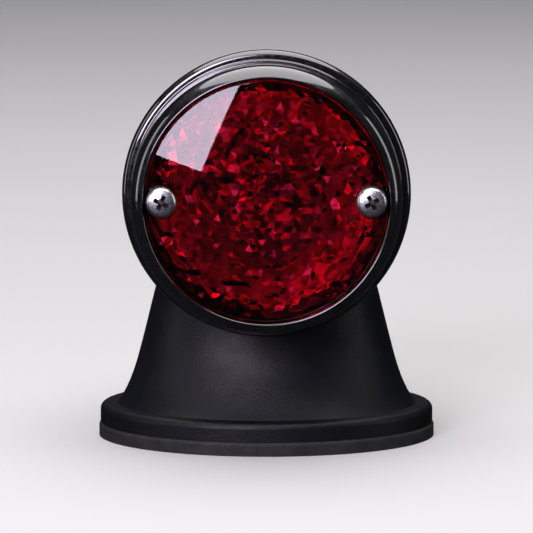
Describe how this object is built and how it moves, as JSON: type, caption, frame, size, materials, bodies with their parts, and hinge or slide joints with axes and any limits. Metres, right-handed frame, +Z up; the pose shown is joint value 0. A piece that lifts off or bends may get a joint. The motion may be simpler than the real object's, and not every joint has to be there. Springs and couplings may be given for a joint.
{
  "type": "tail light",
  "caption": "Round motorcycle tail light with a faceted red lens in a gloss black bullet housing, on a flared black pedestal that bolts down on a rubber pad.",
  "frame": {"origin": "centre of the mounting face, the underside of the rubber pad", "axes": "+Z up out of the mounting face, the lens faces -Y, +X to the right of someone looking at the lens"},
  "size_m": [0.0716, 0.078, 0.0841],
  "materials": {
    "red_lens": "clear red plastic, smooth outside and faceted inside",
    "gloss_black": "gloss black enamel",
    "satin_black": "satin black powder coat",
    "rubber": "matt black rubber",
    "stainless": "bright stainless steel",
    "zinc_steel": "zinc plated steel",
    "reflector_chrome": "bright metallised",
    "brass": "plain brass",
    "nickel": "nickel plated brass",
    "solder": "dull solder",
    "phenolic": "brown laminate",
    "black_insulator": "black vitreous insulator",
    "clear_glass": "clear blown glass",
    "tungsten": "drawn tungsten wire"
  },
  "bodies": {
    "lamp_base": {"base_pad": "rubber", "pedestal": "satin_black", "thread_inserts": "brass", "housing": "gloss_black", "housing_screws": "zinc_steel", "housing_screw_washers": "zinc_steel", "cable_grommet": "rubber", "housing_seal": "rubber", "bezel_ring": "gloss_black", "lens_gasket": "rubber", "reflector": "reflector_chrome", "reflector_screws": "zinc_steel", "bulb_holder": "zinc_steel", "holder_screws": "zinc_steel", "holder_lock_washers": "zinc_steel", "earth_tab": "brass", "contact_block": "phenolic", "terminal_tabs": "brass", "contact_springs": "tungsten"},
    "lens_cover": {"lens": "red_lens"},
    "left_lens_screw": {"lens_screw_left": "stainless", "lens_screw_washer_left": "rubber"},
    "right_lens_screw": {"lens_screw_right": "stainless", "lens_screw_washer_right": "rubber"},
    "plungers": {"contact_plungers": "brass"},
    "bulb": {"bulb_glass": "clear_glass", "bulb_cap": "nickel", "bulb_insulator": "black_insulator", "bulb_contacts": "solder", "glass_stem": "clear_glass", "filament_stop": "tungsten", "filament_tail": "tungsten", "filament_supports": "nickel"}
  },
  "joints": [
    {"name": "lens_off", "type": "slide", "parent": "lamp_base", "child": "lens_cover", "axis": [0, -1, 0], "range_m": [0, 0.06]},
    {"name": "left_screw_turn", "type": "hinge", "parent": "lens_cover", "child": "left_lens_screw", "pos_m": [-0.0216, -0.0324, 0.054], "axis": [0, -1, 0], "continuous": true},
    {"name": "right_screw_turn", "type": "hinge", "parent": "lens_cover", "child": "right_lens_screw", "pos_m": [0.0216, -0.0324, 0.054], "axis": [0, -1, 0], "continuous": true},
    {"name": "bulb_push", "type": "slide", "parent": "lamp_base", "child": "plungers", "axis": [0, 1, 0], "range_m": [0, 0.0022], "stiffness_N_per_m": 2000, "springref_m": -0.0015, "deforming": ["contact_springs"]},
    {"name": "bulb_turn", "type": "hinge", "parent": "plungers", "child": "bulb", "pos_m": [0, 0, 0.054], "axis": [0, -1, 0], "range_deg": [0, 20]}
  ]
}
